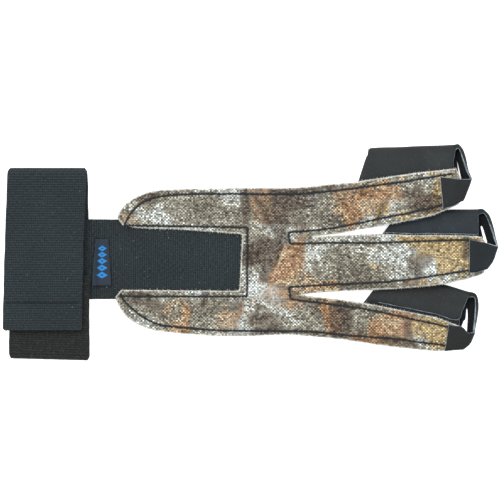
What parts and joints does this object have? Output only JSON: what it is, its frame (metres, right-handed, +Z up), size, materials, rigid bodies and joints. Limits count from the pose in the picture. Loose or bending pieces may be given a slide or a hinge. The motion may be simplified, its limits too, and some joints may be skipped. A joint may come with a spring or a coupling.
{
  "type": "archery glove",
  "caption": "Archery glove lying flat: camouflage canvas back with leather finger stalls, joined by elastic to a closed wrist strap.",
  "frame": {"origin": "on the table under the middle of the glove's box", "axes": "+X from the wrist strap to the fingertips, +Y across the hand towards the index finger, +Z up, away from the table"},
  "size_m": [0.235, 0.103, 0.0112],
  "materials": {
    "elastic": "ribbed black elastic webbing",
    "hook_tape": "black hook tape",
    "elastic_back": "ribbed black elastic webbing",
    "label_cloth": "dark blue woven label, bare",
    "canvas": "camouflage canvas in grey, tan and brown",
    "index_leather": "matt black leather",
    "middle_leather": "matt black leather",
    "ring_leather": "matt black leather"
  },
  "bodies": {
    "root": {"wrist_strap": "elastic", "hook_patch": "hook_tape", "back_strap": "elastic_back", "label": "label_cloth", "back_panel": "canvas", "index_stall": "index_leather", "middle_stall": "middle_leather", "ring_stall": "ring_leather"}
  },
  "joints": []
}
